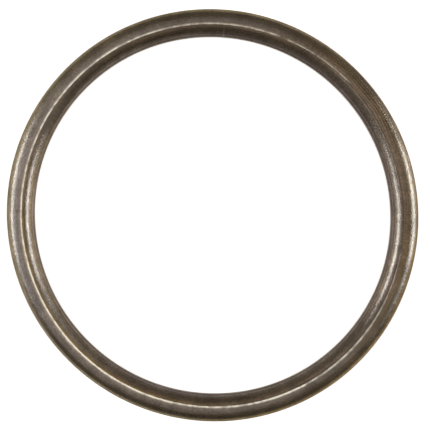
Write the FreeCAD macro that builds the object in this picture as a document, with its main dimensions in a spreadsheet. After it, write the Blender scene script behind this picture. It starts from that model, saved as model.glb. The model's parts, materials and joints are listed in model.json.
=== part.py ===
import FreeCAD, Part
import Sketcher
from math import acos, atan2, radians, sqrt
import os

# Exhaust gasket: a crush ring that seals the joint between an exhaust port and its pipe.
# It is one strip of thin sheet steel, rolled into a hollow ring. The strip is bent
# round until its two long edges meet on the crowned face: the outer edge laps over
# the inner one. The face opposite is flat and seats on the flange.
# The origin is the centre of that seat, with +Z along the pipe, towards the crown.
# All lengths are in millimetres.

NODE = "gasket_ring"

DIMENSIONS = [
    ("bore_diameter", 61.0, "clear diameter through the ring"),
    ("section_width", 4.5, "radial width of the rolled section"),
    ("section_height", 3.6, "height of the section before it is clamped"),
    ("sheet_thickness", 0.3, "thickness of the steel strip"),
    ("crown_radius", 3.8, "outside radius of the arch over the top"),
    ("crest_share", 0.565, "share of the width from the bore wall to the top of the arch"),
    ("outer_shoulder", 1.25, "outside radius where the arch turns down to the outer wall"),
    ("inner_shoulder", 1.2, "outside radius where the arch turns down to the bore wall"),
    ("seat_bend", 0.5, "outside radius of the two bends beside the flat seat"),
    ("lap_offset", 1.75, "radial distance from the bore wall to the cut edge of the lap"),
    ("lap_overlap", 0.7, "how far the inner lip reaches in under the lap"),
    ("lap_gap", 0.05, "gap between the lap and the lip under it"),
    ("edge_round_share", 0.75, "share of the thickness that is rounded off the cut edge"),
]

# Sketcher's numbers for the points of an edge, and for the origin and the x axis
START = 1
END = 2
CENTRE = 3
ORIGIN = (-1, 1)
X_AXIS = -1


class Layout:
    """Where the section's edges lie at first, as numbers, before the sketch is constrained."""

    def __init__(self, sheet):
        self.bore = sheet.bore_diameter / 2
        self.outer = self.bore + sheet.section_width
        self.lap_edge = self.bore + sheet.lap_offset
        self.lip_edge = self.lap_edge + sheet.lap_overlap
        self.lap_radius = sheet.crown_radius
        self.lip_radius = sheet.crown_radius - sheet.sheet_thickness - sheet.lap_gap
        self.inner_shoulder = sheet.inner_shoulder
        self.outer_shoulder = sheet.outer_shoulder
        self.seat_bend = sheet.seat_bend
        self.edge_round = sheet.sheet_thickness * sheet.edge_round_share
        self.arch = (self.bore + sheet.section_width * sheet.crest_share,
                     sheet.section_height - sheet.crown_radius)

    def corner(self, wall, radius, arch_radius, side):
        """A bend that touches the arch from within and a wall: its centre, and the angle
        at which it leaves the arch. side is 1 at the arch's right and -1 at its left."""
        centre_x = wall - side * radius
        across = centre_x - self.arch[0]
        up = sqrt((arch_radius - radius) ** 2 - across ** 2)
        return (centre_x, self.arch[1] + up), atan2(up, across)

    def angle_at(self, edge, arch_radius):
        """The angle at which an arch of this radius passes over an edge's place."""
        return acos((edge - self.arch[0]) / arch_radius)


def make_sheet(doc):
    """The spreadsheet of driving dimensions, one to a row."""
    sheet = doc.addObject("Spreadsheet::Sheet", "dimensions")
    for row, (alias, value, meaning) in enumerate(DIMENSIONS, start=1):
        sheet.set(f"A{row}", meaning)
        sheet.set(f"B{row}", str(value))
        sheet.setAlias(f"B{row}", alias)
    doc.recompute()
    return sheet


def section_sketch(body):
    """An empty sketch on the XZ plane, where x is the radius and y is the height."""
    plane = next(f for f in body.Origin.OriginFeatures if f.Role == "XZ_Plane")
    sketch = body.newObject("Sketcher::SketchObject", "strip_section")
    sketch.AttachmentSupport = [(plane, "")]
    sketch.MapMode = "FlatFace"
    return sketch


def constrain(sketch, kind, *where):
    return sketch.addConstraint(Sketcher.Constraint(kind, *where))


def dimension(sketch, name, formula, kind, *where):
    """Adds a dimension to the sketch and ties it to the sheet, which then gives its value."""
    placeholder = 1.0
    index = constrain(sketch, kind, *where, placeholder)
    sketch.renameConstraint(index, name)
    sketch.setExpression(f"Constraints.{name}", formula)


def add_bend(sketch, centre, radius, start, end):
    """An arc that runs anticlockwise from one angle to the other."""
    circle = Part.Circle(FreeCAD.Vector(*centre, 0), FreeCAD.Vector(0, 0, 1), radius)
    return sketch.addGeometry(Part.ArcOfCircle(circle, start, end), False)


def add_straight(sketch, here, here_point, there, there_point):
    """A straight edge from a point of one edge to a point of another."""
    start = sketch.getPoint(here, here_point)
    end = sketch.getPoint(there, there_point)
    return sketch.addGeometry(Part.LineSegment(start, end), False)


def add_skin(sketch, layout, inset, lap_angle):
    """One face of the strip, from the inner lip down the bore wall, along the seat,
    up the outer wall and over the crown to the lap. inset is 0 for the strip's outside
    and its thickness for its inside."""
    bore, outer, bend = layout.bore, layout.outer, layout.seat_bend
    left, down, right = radians(180), radians(270), radians(360)
    inner_centre, inner_angle = layout.corner(
        bore, layout.inner_shoulder, layout.lip_radius, -1)
    outer_centre, outer_angle = layout.corner(
        outer, layout.outer_shoulder, layout.lap_radius, 1)
    lip_radius = layout.lip_radius - inset
    lap_radius = layout.lap_radius - inset
    lip_angle = layout.angle_at(layout.lip_edge, lip_radius)

    lip = add_bend(sketch, layout.arch, lip_radius, lip_angle, inner_angle)
    inner_shoulder = add_bend(
        sketch, inner_centre, layout.inner_shoulder - inset, inner_angle, left)
    inner_seat = add_bend(sketch, (bore + bend, bend), bend - inset, left, down)
    outer_seat = add_bend(sketch, (outer - bend, bend), bend - inset, down, right)
    outer_shoulder = add_bend(
        sketch, outer_centre, layout.outer_shoulder - inset, 0, outer_angle)
    lap = add_bend(sketch, layout.arch, lap_radius, outer_angle, lap_angle)
    bore_wall = add_straight(sketch, inner_shoulder, END, inner_seat, START)
    seat = add_straight(sketch, inner_seat, END, outer_seat, START)
    outer_wall = add_straight(sketch, outer_seat, END, outer_shoulder, START)

    path = [
        lip, inner_shoulder, bore_wall, inner_seat, seat,
        outer_seat, outer_wall, outer_shoulder, lap,
    ]
    for here, after in zip(path, path[1:]):
        constrain(sketch, "Tangent", here, END, after, START)
    constrain(sketch, "Vertical", bore_wall)
    constrain(sketch, "Vertical", outer_wall)
    constrain(sketch, "Horizontal", seat)
    return path


def draw_section(sketch, layout, thickness):
    """The strip's own section: its two faces, its rounded cut edge and its lip's edge."""
    edge_centre, edge_angle = layout.corner(
        layout.lap_edge, layout.edge_round, layout.lap_radius, -1)
    inside_angle = layout.angle_at(layout.lap_edge, layout.lap_radius - thickness)
    outside = add_skin(sketch, layout, 0, edge_angle)
    inside = add_skin(sketch, layout, thickness, inside_angle)
    (lip, inner_shoulder, bore_wall, inner_seat, seat,
     outer_seat, outer_wall, outer_shoulder, lap) = outside
    inside_lip, inside_lap = inside[0], inside[-1]

    # The two faces run side by side, so each pair of bends shares its centre.
    for outside_edge, inside_edge in zip(outside, inside):
        if isinstance(sketch.Geometry[outside_edge], Part.ArcOfCircle):
            constrain(sketch, "Coincident", outside_edge, CENTRE, inside_edge, CENTRE)
    constrain(sketch, "Coincident", lip, CENTRE, lap, CENTRE)

    edge_round = add_bend(sketch, edge_centre, layout.edge_round, edge_angle, radians(180))
    constrain(sketch, "Tangent", lap, END, edge_round, START)
    cut_edge = add_straight(sketch, edge_round, END, inside_lap, END)
    constrain(sketch, "Tangent", edge_round, END, cut_edge, START)
    constrain(sketch, "Coincident", cut_edge, END, inside_lap, END)
    constrain(sketch, "Vertical", cut_edge)
    lip_edge = add_straight(sketch, lip, START, inside_lip, START)
    constrain(sketch, "Coincident", lip_edge, START, lip, START)
    constrain(sketch, "Coincident", lip_edge, END, inside_lip, START)
    constrain(sketch, "Vertical", lip_edge)

    # Places across the section, each measured from the bore wall
    dimension(sketch, "bore", "dimensions.bore_diameter / 2",
              "DistanceX", *ORIGIN, bore_wall, START)
    dimension(sketch, "width", "dimensions.section_width",
              "DistanceX", bore_wall, START, outer_wall, END)
    dimension(sketch, "crest", "dimensions.section_width * dimensions.crest_share",
              "DistanceX", bore_wall, START, lap, CENTRE)
    dimension(sketch, "lap", "dimensions.lap_offset",
              "DistanceX", bore_wall, START, cut_edge, START)
    dimension(sketch, "overlap", "dimensions.lap_overlap",
              "DistanceX", cut_edge, START, lip_edge, START)

    # Heights above the flange
    constrain(sketch, "PointOnObject", seat, START, X_AXIS)
    dimension(sketch, "arch_centre", "dimensions.section_height - dimensions.crown_radius",
              "DistanceY", *ORIGIN, lap, CENTRE)

    # Bends of the strip
    dimension(sketch, "lap_outside", "dimensions.crown_radius", "Radius", lap)
    dimension(sketch, "lap_inside", "dimensions.crown_radius - dimensions.sheet_thickness",
              "Radius", inside_lap)
    dimension(sketch, "lip_outside",
              "dimensions.crown_radius - dimensions.sheet_thickness - dimensions.lap_gap",
              "Radius", lip)
    dimension(sketch, "outer_shoulder", "dimensions.outer_shoulder", "Radius", outer_shoulder)
    dimension(sketch, "inner_shoulder", "dimensions.inner_shoulder", "Radius", inner_shoulder)
    dimension(sketch, "outer_seat", "dimensions.seat_bend", "Radius", outer_seat)
    dimension(sketch, "inner_seat", "dimensions.seat_bend", "Radius", inner_seat)
    dimension(sketch, "cut_edge_round",
              "dimensions.sheet_thickness * dimensions.edge_round_share",
              "Radius", edge_round)


def make_ring(doc, sheet):
    """The ring: the strip's section carried once round the pipe's axis."""
    body = doc.addObject("PartDesign::Body", "ring_body")
    body.Label = NODE
    sketch = section_sketch(body)
    draw_section(sketch, Layout(sheet), sheet.sheet_thickness)
    ring = body.newObject("PartDesign::Revolution", "rolled_ring")
    ring.Profile = sketch
    ring.ReferenceAxis = (sketch, ["V_Axis"])
    ring.Angle = 360
    doc.recompute()
    body.Placement = FreeCAD.Placement()
    return body


def check(doc, bodies):
    """Stops the build if any object failed or any sub-part has no valid solid."""
    for item in doc.Objects:
        if "Invalid" in item.State or "Error" in item.State:
            raise RuntimeError(f"{item.Name} did not recompute: {item.State}")
    for body in bodies:
        if body.Shape.isNull() or not body.Shape.isValid():
            raise RuntimeError(f"{body.Label} has no valid shape")


doc = FreeCAD.newDocument("exhaust_gasket")
sheet = make_sheet(doc)
ring = make_ring(doc, sheet)
doc.recompute()
check(doc, [ring])

os.makedirs("parts", exist_ok=True)
ring.Shape.exportStep(f"parts/{ring.Label}.step")
box = ring.Shape.optimalBoundingBox()
print(f"{ring.Label}: {len(ring.Shape.Solids)} solid, {ring.Shape.Volume:.1f} mm3")
print(f"box {box.XLength:.2f} x {box.YLength:.2f} x {box.ZLength:.2f} mm")
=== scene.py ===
import json
from math import acos, atan2, cos, degrees, pi, radians, sin, sqrt

import bpy
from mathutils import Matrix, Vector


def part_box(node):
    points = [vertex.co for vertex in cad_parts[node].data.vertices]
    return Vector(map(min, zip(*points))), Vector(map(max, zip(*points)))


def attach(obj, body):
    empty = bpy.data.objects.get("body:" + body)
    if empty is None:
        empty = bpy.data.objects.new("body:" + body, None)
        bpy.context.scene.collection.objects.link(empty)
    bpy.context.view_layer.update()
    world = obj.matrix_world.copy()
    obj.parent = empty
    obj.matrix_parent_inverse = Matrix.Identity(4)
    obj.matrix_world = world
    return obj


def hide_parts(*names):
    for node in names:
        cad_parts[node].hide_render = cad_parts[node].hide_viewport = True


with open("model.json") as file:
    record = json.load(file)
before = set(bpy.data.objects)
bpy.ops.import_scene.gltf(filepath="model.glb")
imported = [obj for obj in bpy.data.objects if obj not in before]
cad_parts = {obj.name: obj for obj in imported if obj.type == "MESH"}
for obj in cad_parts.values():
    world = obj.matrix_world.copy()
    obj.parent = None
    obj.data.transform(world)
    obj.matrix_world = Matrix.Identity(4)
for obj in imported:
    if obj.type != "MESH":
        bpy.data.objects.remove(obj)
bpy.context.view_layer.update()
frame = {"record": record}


# The ring
# A crush ring rolled from one strip of 0.3 mm sheet steel. The strip is closed round a hollow,
# and its outer edge laps over its inner one on the crown. It was made by bending, so it is not
# quite round, and the lap stands proud along most of its length and is pressed flush elsewhere.
MM = 0.001
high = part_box("gasket_ring")[1]
mounts = {mount["name"]: mount for mount in frame["record"]["mounts"]}
bore_radius = mounts["pipe_bore"]["dims"]["r_mm"] * MM
outer_radius = high[0]
ring_height = high[2]
sheet = 0.3 * MM
crown_radius = 3.8 * MM
crest_share = 0.565
outer_shoulder = 1.25 * MM
inner_shoulder = 1.2 * MM
seat_bend = 0.5 * MM
lap_offset = 1.75 * MM
lap_overlap = 0.7 * MM
lap_gap = 0.05 * MM
edge_round = 0.22 * MM
turn_steps = 600

arch_x = bore_radius + crest_share * (outer_radius - bore_radius)
arch_z = ring_height - crown_radius
lip_radius = crown_radius - sheet - lap_gap
lap_edge = bore_radius + lap_offset
lip_edge = lap_edge + lap_overlap


def shoulder_place(centre_x, radius, arch_radius):
    """Height of a shoulder's centre, and the angle at which the shoulder leaves the arch."""
    across = centre_x - arch_x
    up = sqrt((arch_radius - radius) ** 2 - across ** 2)
    return arch_z + up, atan2(up, across)


def bend(centre_x, centre_z, angle, steps):
    """Carries the end of the section round a bend, anticlockwise as seen from the front."""
    bpy.ops.mesh.spin(
        steps=steps, angle=angle, center=(centre_x, 0, centre_z), axis=(0, 1, 0))


def run(x, z):
    """Carries the end of the section straight on."""
    bpy.ops.mesh.extrude_region_move(TRANSFORM_OT_translate={"value": (x, 0, z)})


inner_x = bore_radius + inner_shoulder
outer_x = outer_radius - outer_shoulder
inner_z, inner_angle = shoulder_place(inner_x, inner_shoulder, lip_radius)
outer_z, outer_angle = shoulder_place(outer_x, outer_shoulder, crown_radius)
lip_angle = acos((lip_edge - arch_x) / lip_radius)
lap_angle = acos((lap_edge - arch_x) / crown_radius)

bpy.ops.object.select_all(action="DESELECT")
bpy.ops.mesh.primitive_plane_add(
    size=sheet, location=(lip_edge, 0, arch_z + lip_radius * sin(lip_angle)))
ring = bpy.context.object
ring.name = "rolled_ring"
bpy.ops.object.transform_apply(location=True, rotation=True, scale=True)

# The outside of the section, from the tucked lip round to the edge of the lap. The steps are
# finest on the lip where it comes out from under the lap.
seam_reach = 0.15 * MM
tucked_angle = acos((lap_edge + seam_reach - arch_x) / lip_radius)
seam_angle = acos((lap_edge - seam_reach - arch_x) / lip_radius)
bpy.ops.object.mode_set(mode="EDIT")
bpy.ops.mesh.select_all(action="SELECT")
bpy.ops.mesh.merge(type="CENTER")
bend(arch_x, arch_z, tucked_angle - lip_angle, steps=2)
bend(arch_x, arch_z, seam_angle - tucked_angle, steps=6)
bend(arch_x, arch_z, inner_angle - seam_angle, steps=14)
bend(inner_x, inner_z, pi - inner_angle, steps=8)
run(0, seat_bend - inner_z)
bend(bore_radius + seat_bend, seat_bend, pi / 2, steps=6)
run(outer_radius - bore_radius - 2 * seat_bend, 0)
bend(outer_radius - seat_bend, seat_bend, pi / 2, steps=6)
run(0, outer_z - seat_bend)
bend(outer_x, outer_z, outer_angle, steps=12)
bend(arch_x, arch_z, lap_angle - outer_angle, steps=14)

# One turn about the pipe's axis
bpy.ops.mesh.select_all(action="SELECT")
bpy.ops.mesh.spin(steps=turn_steps, angle=2 * pi, center=(0, 0, 0), axis=(0, 0, 1))
bpy.ops.mesh.select_all(action="SELECT")
bpy.ops.mesh.remove_doubles(threshold=0.001 * MM)
bpy.ops.mesh.normals_make_consistent(inside=False)
bpy.ops.object.mode_set(mode="OBJECT")


def apply_modifier(kind, **settings):
    """Adds a modifier to the ring and applies it."""
    modifier = ring.modifiers.new(kind.lower(), kind)
    for name, value in settings.items():
        setattr(modifier, name, value)
    bpy.ops.object.modifier_apply(modifier=modifier.name)


def radius_of(point):
    return sqrt(point.x ** 2 + point.y ** 2)


def bearing_of(point):
    """Where a point lies round the ring, in degrees clockwise from +Y."""
    return degrees(atan2(point.x, point.y)) % 360


def share_of(point):
    """Where a point lies across the section: 0 at the bore wall and 1 at the outer wall."""
    return (radius_of(point) - bore_radius) / (outer_radius - bore_radius)


# The sheet's thickness, all of it inside the section
apply_modifier("SOLIDIFY", thickness=sheet, offset=-1, use_even_offset=True)

# The sheared upper corner of the lap's edge is rounded off.
hair = 0.01 * MM
corner_z = arch_z + crown_radius * sin(lap_angle)
for polygon in ring.data.polygons:
    polygon.select = False
for vertex in ring.data.vertices:
    point = vertex.co
    vertex.select = (abs(radius_of(point) - lap_edge) < hair
                     and abs(point.z - corner_z) < hair)
for edge in ring.data.edges:
    edge.select = all(ring.data.vertices[index].select for index in edge.vertices)
bpy.ops.object.mode_set(mode="EDIT")
bpy.ops.mesh.select_mode(type="EDGE")
bpy.ops.mesh.bevel(offset=edge_round, offset_type="OFFSET", segments=5, affect="EDGES")
bpy.ops.object.mode_set(mode="OBJECT")


# What follows differs round the ring. Bearings are in degrees clockwise from +Y, and the stops
# are a bearing and an amount. The bare steel on the lap's edge comes in patches, which join where
# its amount is over 1, and its amounts round the ring also paint the glint that the edge catches.
BARE_AND_GLINT_STOPS = [
    (0, 0.70), (12, 0.72), (20, 0.66), (21, 0.05), (23, 0.05), (24, 0.52), (32, 0.52),
    (33, 0.12), (34, 0.48), (45, 0.42), (47, 0.0), (104, 0.0), (112, 0.12), (118, 0.27),
    (126, 0.62), (135, 0.78), (151, 0.72), (152, 1.9), (153, 1.5), (160, 1.3), (170, 1.1),
    (180, 0.95), (190, 0.98), (198, 1.6), (222, 1.9), (232, 1.4), (240, 1.1), (260, 1.15),
    (272, 0.85), (280, 0.80), (300, 0.92), (320, 0.90), (330, 1.05), (345, 0.74), (360, 0.70),
]
# How far out from the lap's edge the bare steel and its painted glint reach, in mm
REACH_STOPS = [(0, 0.33), (90, 0.33), (120, 0.38), (310, 0.38), (350, 0.33), (360, 0.33)]
# How nearly flush the lap is pressed, where 0 stands proud and 1 is level
FLUSH_STOPS = [(0, 0.0), (25, 0.0), (48, 1.0), (98, 1.0), (127, 0.0), (360, 0.0)]
# Painted light and shade on the oxide, which also sets its gloss: a bearing, and the amounts on
# the bore wall, on the inner flank, on the crown and on the outer flank
PAINTED_LIGHT_STOPS = [
    (0, 0.50, 0.91, 1.04, 1.20), (30, 0.57, 1.12, 0.98, 1.38), (45, 0.62, 1.40, 1.10, 1.50),
    (60, 0.66, 1.42, 1.26, 1.55), (90, 0.98, 1.38, 1.17, 1.03), (120, 1.04, 1.08, 1.20, 1.40),
    (150, 0.80, 1.48, 1.11, 1.15), (180, 0.69, 1.28, 1.14, 0.82), (210, 0.78, 1.60, 1.39, 1.10),
    (240, 1.12, 1.65, 1.78, 1.35), (270, 1.60, 1.16, 2.02, 1.32), (300, 1.06, 1.20, 1.60, 1.50),
    (330, 0.70, 1.12, 1.38, 1.52), (360, 0.50, 0.91, 1.04, 1.20),
]
# How far up the inner flank the bore wall's painted light and shade reaches, as a share of the
# section's width
FOOT_STOPS = [
    (0, 0.115), (30, 0.12), (45, 0.15), (60, 0.20), (80, 0.22), (100, 0.20), (125, 0.115),
    (240, 0.115), (262, 0.19), (285, 0.23), (300, 0.14), (315, 0.115), (360, 0.115),
]
# Painted glints along creases beside the seam, and painted highlight bands on both shoulders:
# first and last bearing, distance outwards from the lap's edge, half the width, and how strong
PALE_BANDS = [
    (36, 84, -0.24 * MM, 0.09 * MM, 0.20), (222, 235, 0.38 * MM, 0.14 * MM, 0.30),
    (66, 132, 1.40 * MM, 0.38 * MM, 0.05), (166, 306, 2.43 * MM, 0.24 * MM, 0.04),
    (130, 192, -1.37 * MM, 0.28 * MM, 0.04), (308, 358, -1.37 * MM, 0.28 * MM, 0.04),
]
# How strongly the tool that pressed the lap flush marked the crown beside it
TOOLED_STOPS = [(0, 0.1), (36, 0.4), (46, 1.0), (62, 1.0), (74, 0.35), (92, 0.0), (360, 0.1)]


def between(stops, bearing):
    """The amount at a bearing, on straight lines between the stops."""
    for (start, first), (end, last) in zip(stops, stops[1:]):
        if bearing <= end:
            return first + (last - first) * (bearing - start) / (end - start)
    return stops[-1][1]


def ramp(value, start, end):
    """0 at start and 1 at end, with soft ends."""
    share = min(1, max(0, (value - start) / (end - start)))
    return share * share * (3 - 2 * share)


def weigh(name, amount_of):
    """Makes a vertex group whose weights come from each point's place."""
    group = ring.vertex_groups.new(name=name)
    for vertex in ring.data.vertices:
        amount = amount_of(vertex.co)
        if amount > 0:
            group.add([vertex.index], amount, "REPLACE")


# Where the lap is pressed flush, the strip beside it is pushed up by flush_rise, less and less
# down the bore wall.
flush_rise = sheet + lap_gap
full_rise = 2.8 * MM
lowest_rise = 0.6 * MM
# Distances outwards from the lap's edge. The bare steel with its painted glint is at full strength
# as far as the first, and a faint painted glow beside the glint thins out between the next two.
full_edge_band = 0.14 * MM
glint_glow_start = 0.30 * MM
glint_glow_end = 0.90 * MM
glint_glow_strength = 0.08
# The pale bands lie above crown_foot and not on the seat below. Their ends fade over the degrees
# set below.
crown_foot = 2.0 * MM
band_fade = 6
# Where the painted light and shade, and the tool marks, change over, at shares of the section's
# width
onto_crown = (0.30, 0.42)
off_crown = (0.66, 0.78)
onto_tooled = (0.40, 0.52)
off_tooled = (0.84, 0.96)
ragged_depth = 0.1 * MM


def is_on_lap(point):
    """Whether a point is on the lap and not on the lip under it."""
    across = radius_of(point) - arch_x
    lip_top = arch_z + sqrt(lip_radius ** 2 - across ** 2) if abs(across) < lip_radius else 0
    return across > lap_edge - arch_x - hair and point.z > lip_top + 2 * hair


def flush_amount(point):
    """The inner side of the strip, and the lap's round corner, pressed level with the lap."""
    across = radius_of(point) - arch_x
    if is_on_lap(point):
        lap_top = arch_z + sqrt(crown_radius ** 2 - across ** 2)
        dip = lap_top - point.z
        rise = dip / flush_rise if 0 < dip < edge_round + hair else 0
    elif across < lap_edge - arch_x + 3 * hair:
        rise = ramp(point.z, lowest_rise, full_rise)
    else:
        rise = 0
    return rise * between(FLUSH_STOPS, bearing_of(point))


def ragged_amount(point):
    """The lap's cut edge, where the lap stands proud."""
    if not is_on_lap(point):
        return 0
    proud = 1 - between(FLUSH_STOPS, bearing_of(point))
    return proud * ramp(radius_of(point), lap_edge + edge_round, lap_edge + ragged_depth)


def bare_and_glint_amount(point):
    """How bare the steel is, with the edge's glint painted in: wholly so on the cut edge, less over
    the lap beside it, then a faint painted glow, and painted glints and highlights along the pale
    bands."""
    radius = radius_of(point)
    bearing = bearing_of(point)
    amount = 0
    if is_on_lap(point):
        edge = between(BARE_AND_GLINT_STOPS, bearing)
        reach = between(REACH_STOPS, bearing) * MM
        fade = 1 - ramp(radius, lap_edge + full_edge_band, lap_edge + reach)
        glint_glow = 1 - ramp(radius, lap_edge + glint_glow_start, lap_edge + glint_glow_end)
        amount = edge * fade + glint_glow_strength * glint_glow * min(1, edge) ** 4
    if point.z > crown_foot:
        for first, last, offset, half_width, strength in PALE_BANDS:
            ends = (ramp(bearing, first, first + band_fade)
                    * ramp(bearing, last, last - band_fade))
            aside = abs(radius - lap_edge - offset)
            amount += ends * strength * (1 - ramp(aside, 0.2 * half_width, half_width))
    return amount


def painted_light_amount(point):
    """The painted light and shade on the oxide, from the stops for the four parts of the section.
    """
    share = share_of(point)
    bearing = bearing_of(point)
    wall, inner, crown, outer = [
        between([(stop[0], stop[part]) for stop in PAINTED_LIGHT_STOPS], bearing)
        for part in (1, 2, 3, 4)]
    foot = between(FOOT_STOPS, bearing)
    amount = wall + (inner - wall) * ramp(share, 0.4 * foot, foot)
    amount += (crown - inner) * ramp(share, *onto_crown)
    return amount + (outer - crown) * ramp(share, *off_crown)


def tooled_amount(point):
    """How strong the tool's marks are. They lie between the seam and the outer shoulder."""
    share = share_of(point)
    over_width = ramp(share, *onto_tooled) * (1 - ramp(share, *off_tooled))
    return over_width * between(TOOLED_STOPS, bearing_of(point))


def paint(name, amount_of):
    """Gives each point an amount that the material reads."""
    layer = ring.data.attributes.new(name, "FLOAT", "POINT")
    for vertex in ring.data.vertices:
        layer.data[vertex.index].value = amount_of(vertex.co)


# Bare steel with its painted glint, the painted light and shade, and the tool marks, for the
# material
paint("bare_steel_and_glint", bare_and_glint_amount)
paint("painted_light", painted_light_amount)
paint("tooled", tooled_amount)
weigh("pressed_flush", flush_amount)
weigh("cut_edge", ragged_amount)

apply_modifier("DISPLACE", vertex_group="pressed_flush", direction="Z", mid_level=0,
               strength=flush_rise)

# The shear left the cut edge a little ragged.
ragged = bpy.data.textures.new("ragged_edge", "CLOUDS")
ragged.noise_scale = 0.9 * MM
ragged.noise_depth = 3
apply_modifier("DISPLACE", vertex_group="cut_edge", texture=ragged, texture_coords="LOCAL",
               direction="NORMAL", mid_level=0.5, strength=ragged_depth)

# The ring is a little oval, long from upper left to lower right.
oval_long = 1.0057
oval_short = 0.9922
oval_turn = radians(-49)
bpy.ops.object.shade_smooth_by_angle(angle=radians(60))
ring.rotation_euler.z = -oval_turn
bpy.ops.object.transform_apply(location=True, rotation=True, scale=True)
ring.scale = (oval_long, oval_short, 1)
bpy.ops.object.transform_apply(location=True, rotation=True, scale=True)
ring.rotation_euler.z = oval_turn
bpy.ops.object.transform_apply(location=True, rotation=True, scale=True)

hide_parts("gasket_ring")
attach(ring, "root")


def linear(hex_colour):
    """An sRGB hex colour as the linear RGBA that Blender's sockets take."""
    channels = [int(hex_colour[index:index + 2], 16) / 255 for index in (1, 3, 5)]
    return [c / 12.92 if c <= 0.04045 else ((c + 0.055) / 1.055) ** 2.4 for c in channels] + [1]


def add_node(tree, kind, links=(), inputs=(), **settings):
    """Adds a node with its settings, its fixed inputs and its links from other sockets."""
    node = tree.nodes.new(kind)
    for name, value in settings.items():
        setattr(node, name, value)
    for name, value in dict(inputs).items():
        node.inputs[name].default_value = value
    for name, socket in dict(links).items():
        tree.links.new(socket, node.inputs[name])
    return node


def new_material(name):
    material = bpy.data.materials.new(name)
    material.use_nodes = True
    material.node_tree.nodes.clear()
    return material, material.node_tree


# Rolled steel strip, darkened by heat
# Mild steel sheet with its thin brown oxide on: a dark, warm satin metal with a fine grain.
# Where the shear cut it and hands and tools rub it, on the lap's edge, the steel is bare, and the
# glint along that edge and highlight bands on the shoulders are painted in its pale colour. The
# oxide is painted lighter and darker round the ring and across the section, as the light falls on
# it. The real grain is under 0.05 mm and is drawn coarser, so that it shows.
steel, tree = new_material("heat_darkened_steel")
grain_size = 0.22 * MM
cloud_size = 2.5 * MM
patch_size = 1.2 * MM
wave_size = 2.2 * MM
roll_mark_width = 0.28 * MM
roll_mark_length = 9 * MM
tool_mark_pitch = 0.45 * MM
tool_mark_length = 5 * MM
tool_mark_wander = 2
mid_radius = (bore_radius + outer_radius) / 2
# Heat tints from the bore wall to the outer wall, each at a share of the section's width:
# greyish inside, brown on the flanks, nearly grey on the crown and straw at the outer shoulder.
HEAT_TINTS = [
    (0.02, "#675f5e"), (0.06, "#635b55"), (0.10, "#605850"), (0.26, "#675d52"), (0.33, "#75695c"),
    (0.40, "#6a6058"), (0.50, "#625c59"), (0.60, "#655f5d"), (0.75, "#675e51"), (0.85, "#676056"),
    (0.93, "#6e6143"), (1.0, "#6c6153"),
]
place = add_node(tree, "ShaderNodeTexCoord")
spot = add_node(tree, "ShaderNodeSeparateXYZ", links={"Vector": place.outputs["Object"]})
flat_spot = add_node(tree, "ShaderNodeCombineXYZ", links={
    "X": spot.outputs["X"], "Y": spot.outputs["Y"]})
radius = add_node(tree, "ShaderNodeVectorMath", operation="LENGTH",
                  links={0: flat_spot.outputs["Vector"]})
across = add_node(tree, "ShaderNodeMapRange", links={"Value": radius.outputs["Value"]},
                  inputs={"From Min": bore_radius, "From Max": outer_radius})
tint = add_node(tree, "ShaderNodeValToRGB", links={"Fac": across.outputs["Result"]})
tint_points = tint.color_ramp.elements
while len(tint_points) < len(HEAT_TINTS):
    tint_points.new(0.5)
for point, (share, hex_colour) in zip(tint_points, HEAT_TINTS):
    point.position = share
    point.color = linear(hex_colour)


def stain(colour, bearing, share, reach, hex_colour):
    """Multiplies a colour by a heat stain. It is strongest at a bearing, and at a share of the
    section's width, and is gone at reach from there."""
    side = radians(bearing)
    towards = add_node(tree, "ShaderNodeVectorMath", operation="DOT_PRODUCT",
                       links={0: place.outputs["Object"]}, inputs={1: (sin(side), cos(side), 0)})
    round_ring = add_node(tree, "ShaderNodeMapRange", interpolation_type="SMOOTHSTEP",
                          links={"Value": towards.outputs["Value"]},
                          inputs={"From Min": 0.4 * mid_radius, "From Max": 0.9 * mid_radius})
    aside = add_node(tree, "ShaderNodeMath", operation="SUBTRACT",
                     links={0: across.outputs["Result"]}, inputs={1: share})
    away = add_node(tree, "ShaderNodeMath", operation="ABSOLUTE", links={0: aside.outputs["Value"]})
    over_width = add_node(tree, "ShaderNodeMapRange", interpolation_type="SMOOTHSTEP",
                          links={"Value": away.outputs["Value"]},
                          inputs={"From Min": reach, "From Max": 0.3 * reach})
    amount = add_node(tree, "ShaderNodeMath", operation="MULTIPLY", links={
        0: round_ring.outputs["Result"], 1: over_width.outputs["Result"]})
    stained = add_node(tree, "ShaderNodeMix", data_type="RGBA", blend_type="MULTIPLY", links={
        0: amount.outputs["Value"], 6: colour}, inputs={7: linear(hex_colour)})
    return stained.outputs[2]


# The outer wall, below the straw shoulder, is plain brown.
plain_brown = linear("#675f57")
past_shoulder = add_node(tree, "ShaderNodeMapRange", links={"Value": across.outputs["Result"]},
                         inputs={"From Min": 0.82, "From Max": 0.92})
below_shoulder = add_node(tree, "ShaderNodeMapRange", links={"Value": spot.outputs["Z"]},
                          inputs={"From Min": outer_z + 0.5 * MM, "From Max": outer_z})
on_wall = add_node(tree, "ShaderNodeMath", operation="MULTIPLY", links={
    0: past_shoulder.outputs["Result"], 1: below_shoulder.outputs["Result"]})
walled = add_node(tree, "ShaderNodeMix", data_type="RGBA", links={
    0: on_wall.outputs["Value"], 6: tint.outputs["Color"]}, inputs={7: plain_brown})
brown_crown = stain(walled.outputs[2], 75, 0.60, 0.20, "#fff0d2")
straw_seam = stain(brown_crown, 235, 0.34, 0.09, "#fff2c8")
straw_wall = stain(straw_seam, 262, 0.04, 0.12, "#fffcea")
grey_shoulder = stain(straw_wall, 318, 0.97, 0.12, "#e4ecff")
rosy_shoulder = stain(grey_shoulder, 72, 0.93, 0.13, "#fff8fa")

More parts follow.
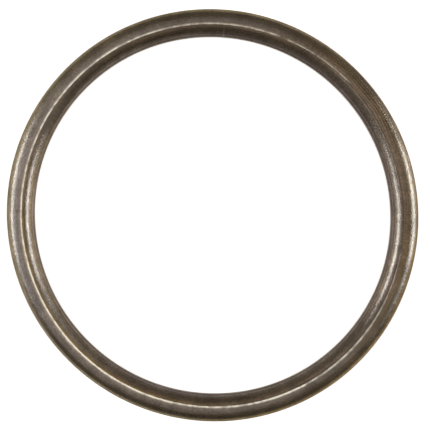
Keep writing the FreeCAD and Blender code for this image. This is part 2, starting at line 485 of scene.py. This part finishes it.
# The seat and the foot of each wall are plain brown as well.
near_seat = add_node(tree, "ShaderNodeMapRange", links={"Value": spot.outputs["Z"]},
                     inputs={"From Min": 1.2 * MM, "From Max": 0.5 * MM})
all_tinted = add_node(tree, "ShaderNodeMix", data_type="RGBA", links={
    0: near_seat.outputs["Result"], 6: rosy_shoulder}, inputs={7: plain_brown})

# The ends of the strip meet in a fine butt joint, which shows on the inner flank.
joint_way = radians(3.5)
joint_edge = 0.12 * MM
joint_core = 0.05 * MM
joint_offset = add_node(tree, "ShaderNodeVectorMath", operation="DOT_PRODUCT",
                        links={0: place.outputs["Object"]},
                        inputs={1: (cos(joint_way), -sin(joint_way), 0)})
from_joint = add_node(tree, "ShaderNodeMath", operation="ABSOLUTE",
                      links={0: joint_offset.outputs["Value"]})
on_joint = add_node(tree, "ShaderNodeMapRange", links={"Value": from_joint.outputs["Value"]},
                    inputs={"From Min": joint_edge, "From Max": joint_core})
on_flank = add_node(tree, "ShaderNodeMapRange", links={"Value": across.outputs["Result"]},
                    inputs={"From Min": 0.38, "From Max": 0.20})
at_top = add_node(tree, "ShaderNodeMath", operation="GREATER_THAN",
                  links={0: spot.outputs["Y"]}, inputs={1: 0.0})
joint_there = add_node(tree, "ShaderNodeMath", operation="MULTIPLY", links={
    0: on_joint.outputs["Result"], 1: on_flank.outputs["Result"]})
joint_amount = add_node(tree, "ShaderNodeMath", operation="MULTIPLY", links={
    0: joint_there.outputs["Value"], 1: at_top.outputs["Value"]})
joint_shade = add_node(tree, "ShaderNodeMapRange", links={"Value": joint_amount.outputs["Value"]},
                       inputs={"To Min": 1.0, "To Max": 1.9})

# Oxide grain, softer clouds in it, the fine marks that the rolls drew along the strip, and the
# nearly even lines left by the tool that pressed the lap flush, which wander by as many times
# their pitch as tool_mark_wander says
grain = add_node(tree, "ShaderNodeTexNoise", links={"Vector": place.outputs["Object"]},
                 inputs={"Scale": 1 / grain_size, "Detail": 1.0, "Roughness": 0.5})
cloud = add_node(tree, "ShaderNodeTexNoise", links={"Vector": place.outputs["Object"]},
                 inputs={"Scale": 1 / cloud_size, "Detail": 3.0, "Roughness": 0.55})
way = add_node(tree, "ShaderNodeVectorMath", operation="NORMALIZE",
               links={0: flat_spot.outputs["Vector"]})
marks_round_ring = mid_radius / roll_mark_length
mark_line = add_node(tree, "ShaderNodeMath", operation="MULTIPLY",
                     links={0: radius.outputs["Value"]},
                     inputs={1: 1 / (roll_mark_width * marks_round_ring)})
roll_marks = add_node(tree, "ShaderNodeTexNoise", noise_dimensions="4D", links={
    "Vector": way.outputs["Vector"], "W": mark_line.outputs["Value"]},
    inputs={"Scale": marks_round_ring, "Detail": 1.0})
wander = add_node(tree, "ShaderNodeTexNoise", links={"Vector": way.outputs["Vector"]},
                  inputs={"Scale": mid_radius / tool_mark_length, "Detail": 0.0})
wander_phase = add_node(tree, "ShaderNodeMath", operation="MULTIPLY",
                        links={0: wander.outputs["Fac"]},
                        inputs={1: 2 * pi * tool_mark_wander})
tool_phase = add_node(tree, "ShaderNodeMath", operation="MULTIPLY_ADD", links={
    0: radius.outputs["Value"], 2: wander_phase.outputs["Value"]},
    inputs={1: 2 * pi / tool_mark_pitch})
tool_marks = add_node(tree, "ShaderNodeMath", operation="SINE",
                      links={0: tool_phase.outputs["Value"]})
grain_shade = add_node(tree, "ShaderNodeMapRange", links={"Value": grain.outputs["Fac"]},
                       inputs={"From Min": 0.3, "From Max": 0.7, "To Min": 0.7, "To Max": 1.3})
cloud_shade = add_node(tree, "ShaderNodeMapRange", links={"Value": cloud.outputs["Fac"]},
                       inputs={"From Min": 0.3, "From Max": 0.7, "To Min": 0.8, "To Max": 1.2})
mark_shade = add_node(tree, "ShaderNodeMapRange", links={"Value": roll_marks.outputs["Fac"]},
                      inputs={"From Min": 0.3, "From Max": 0.7, "To Min": 0.88, "To Max": 1.12})
tool_shade = add_node(tree, "ShaderNodeMapRange", links={"Value": tool_marks.outputs["Value"]},
                      inputs={"From Min": -1.0, "To Min": 0.72, "To Max": 1.28})
tooled = add_node(tree, "ShaderNodeAttribute", attribute_name="tooled")
drawn = add_node(tree, "ShaderNodeMix", links={
    0: tooled.outputs["Fac"], 2: mark_shade.outputs["Result"], 3: tool_shade.outputs["Result"]})
# Painted light and shade, read per point, lightens or darkens the oxide and sets its gloss.
painted_light = add_node(tree, "ShaderNodeAttribute", attribute_name="painted_light")
speckle = add_node(tree, "ShaderNodeMath", operation="MULTIPLY", links={
    0: grain_shade.outputs["Result"], 1: cloud_shade.outputs["Result"]})
marked = add_node(tree, "ShaderNodeMath", operation="MULTIPLY", links={
    0: speckle.outputs["Value"], 1: drawn.outputs[0]})
shade = add_node(tree, "ShaderNodeMath", operation="MULTIPLY", links={
    0: marked.outputs["Value"], 1: painted_light.outputs["Fac"]})
all_shade = add_node(tree, "ShaderNodeMath", operation="MULTIPLY", links={
    0: shade.outputs["Value"], 1: joint_shade.outputs["Result"]})
oxide_and_painted_light = add_node(tree, "ShaderNodeVectorMath", operation="SCALE", links={
    0: all_tinted.outputs[2], "Scale": all_shade.outputs["Value"]})

# Bare steel over the oxide, in patches, with the edge's painted glint and the bands' painted
# highlights in it
bare_and_glint_place = add_node(tree, "ShaderNodeAttribute", attribute_name="bare_steel_and_glint")
patches = add_node(tree, "ShaderNodeTexNoise", links={"Vector": place.outputs["Object"]},
                   inputs={"Scale": 1 / patch_size, "Detail": 2.0, "Roughness": 0.6})
patch_share = add_node(tree, "ShaderNodeMapRange", links={"Value": patches.outputs["Fac"]},
                       inputs={"From Min": 0.38, "From Max": 0.58, "To Min": 0.5, "To Max": 1.05})
bare_and_glint = add_node(tree, "ShaderNodeMath", operation="MULTIPLY", use_clamp=True, links={
    0: bare_and_glint_place.outputs["Fac"], 1: patch_share.outputs["Result"]})
colour = add_node(tree, "ShaderNodeMix", data_type="RGBA", links={
    0: bare_and_glint.outputs["Value"], 6: oxide_and_painted_light.outputs["Vector"]}, inputs={7: linear("#fffbf0")})
oxide_gloss = add_node(tree, "ShaderNodeMapRange", links={"Value": painted_light.outputs["Fac"]},
                       inputs={"From Min": 0.9, "From Max": 1.8, "To Min": 0.18, "To Max": 0.30})
gloss = add_node(tree, "ShaderNodeMix", links={
    0: bare_and_glint.outputs["Value"], 2: oxide_gloss.outputs["Result"]}, inputs={3: 0.65})

# Slight dents from rolling, with the grain on top. The oxide keeps the steel from turning white
# at a low angle, as clean metal would.
wave_depth = 0.025 * MM
grain_depth = 0.02 * MM
waves = add_node(tree, "ShaderNodeTexNoise", links={"Vector": place.outputs["Object"]},
                 inputs={"Scale": 1 / wave_size, "Detail": 0.0})
dents = add_node(tree, "ShaderNodeBump", links={"Height": waves.outputs["Fac"]},
                 inputs={"Strength": 1.0, "Distance": wave_depth})
bump = add_node(tree, "ShaderNodeBump", links={
    "Height": grain.outputs["Fac"], "Normal": dents.outputs["Normal"]},
    inputs={"Strength": 1.0, "Distance": grain_depth})
surface = add_node(tree, "ShaderNodeBsdfPrincipled", links={
    "Base Color": colour.outputs[2], "Roughness": gloss.outputs[0],
    "Normal": bump.outputs["Normal"]},
    inputs={"Metallic": 1.0, "Specular Tint": linear("#b0a698")})
add_node(tree, "ShaderNodeOutputMaterial", links={"Surface": surface.outputs["BSDF"]})
ring.data.materials.clear()
ring.data.materials.append(steel)


# The floor
# A plain white table, wide enough to fill the view and to show in the ring's walls. It lies a
# hair under the seat, so that the two surfaces aren't in one plane, and is clear from below, so
# that the seat can be looked at. Where it is looked at it has a little light of its own, as a
# table in a brightly lit photo has.
bpy.ops.object.select_all(action="DESELECT")
table_drop = 0.02 * MM
bpy.ops.mesh.primitive_plane_add(size=3.0, location=(0, 0, -table_drop))
floor = bpy.context.object
floor.name = "table"
paper, tree = new_material("white_table")
own_light = 0.6
matt = add_node(tree, "ShaderNodeBsdfDiffuse", inputs={"Color": linear("#f4f4f4")})
path = add_node(tree, "ShaderNodeLightPath")
seen = add_node(tree, "ShaderNodeMath", operation="MAXIMUM", links={
    0: path.outputs["Is Camera Ray"], 1: path.outputs["Is Glossy Ray"]})
lift = add_node(tree, "ShaderNodeMath", operation="MULTIPLY", links={0: seen.outputs[0]},
                inputs={1: own_light})
glow = add_node(tree, "ShaderNodeEmission", links={"Strength": lift.outputs[0]})
both = add_node(tree, "ShaderNodeAddShader", links={0: matt.outputs[0], 1: glow.outputs[0]})
side = add_node(tree, "ShaderNodeNewGeometry")
clear = add_node(tree, "ShaderNodeBsdfTransparent")
one_way = add_node(tree, "ShaderNodeMixShader", links={
    0: side.outputs["Backfacing"], 1: both.outputs[0], 2: clear.outputs[0]})
add_node(tree, "ShaderNodeOutputMaterial", links={"Surface": one_way.outputs[0]})
floor.data.materials.append(paper)


# The light
# Two soft boxes stand on each side of the ring, a small bright one above a large dim one, and
# the room round them is dim and warm.
def soft_box(name, bearing, climb, distance, width, height, power, hex_colour):
    """An area light that faces the ring. bearing is clockwise from the picture's top and
    climb is the angle above the table, both in degrees."""
    turn = radians(90 - bearing)
    rise = radians(climb)
    bpy.ops.object.light_add(type="AREA", location=(
        distance * cos(rise) * cos(turn), distance * cos(rise) * sin(turn),
        distance * sin(rise)))
    lamp = bpy.context.object
    lamp.name = name
    lamp.data.shape = "RECTANGLE"
    lamp.data.size = width
    lamp.data.size_y = height
    lamp.data.energy = power
    lamp.data.color = linear(hex_colour)[:3]
    lamp.rotation_euler = (pi / 2 - rise, 0, turn + pi / 2)


soft_box("right_soft_box", 87.5, 46.5, 0.54, 0.24, 0.10, 0.84, "#e2eeff")
soft_box("left_soft_box", 273.5, 49, 0.56, 0.24, 0.10, 0.84, "#e2eeff")
soft_box("right_low_box", 88, 24, 0.80, 0.62, 0.40, 0.98, "#fff4e2")
soft_box("left_low_box", 272, 24, 0.80, 0.75, 0.40, 1.25, "#fff4e2")

# The room is warm, brightest overhead and dimmest halfway down to the table. The camera sees a
# white backdrop in its place.
world = bpy.data.worlds.new("studio")
bpy.context.scene.world = world
world.use_nodes = True
tree = world.node_tree
tree.nodes.clear()
way = add_node(tree, "ShaderNodeTexCoord")
parts = add_node(tree, "ShaderNodeSeparateXYZ", links={"Vector": way.outputs["Generated"]})
room = add_node(tree, "ShaderNodeValToRGB", links={"Fac": parts.outputs["Z"]})
ROOM_STOPS = [(0.0, 0.68), (0.34, 0.52), (0.64, 0.26), (0.84, 0.31), (0.94, 0.60), (1.0, 0.98)]
room_tint = linear("#fff3e1")
ramp_points = room.color_ramp.elements
while len(ramp_points) < len(ROOM_STOPS):
    ramp_points.new(0.5)
for point, (height, level) in zip(ramp_points, ROOM_STOPS):
    point.position = height
    point.color = [level * channel for channel in room_tint[:3]] + [1]
path = add_node(tree, "ShaderNodeLightPath")
backdrop = add_node(tree, "ShaderNodeMix", data_type="RGBA", links={
    0: path.outputs["Is Camera Ray"], 6: room.outputs["Color"]}, inputs={7: linear("#ffffff")})
air = add_node(tree, "ShaderNodeBackground", links={"Color": backdrop.outputs[2]})
add_node(tree, "ShaderNodeOutputWorld", links={"Surface": air.outputs["Background"]})


# The camera
# It looks straight down from about 200 mm, with the ring a hair left of the middle.
view_width = 73.02 * MM
camera_height = 200 * MM
camera_x = 0.41 * MM
camera_y = 0.04 * MM
bpy.ops.object.camera_add(location=(camera_x, camera_y, camera_height), rotation=(0, 0, 0))
camera = bpy.context.object
camera.data.sensor_width = 36
camera.data.lens = camera.data.sensor_width * (camera_height - outer_z) / view_width
camera.data.clip_start = 0.01
bpy.context.scene.camera = camera
bpy.context.scene.view_settings.view_transform = "Standard"
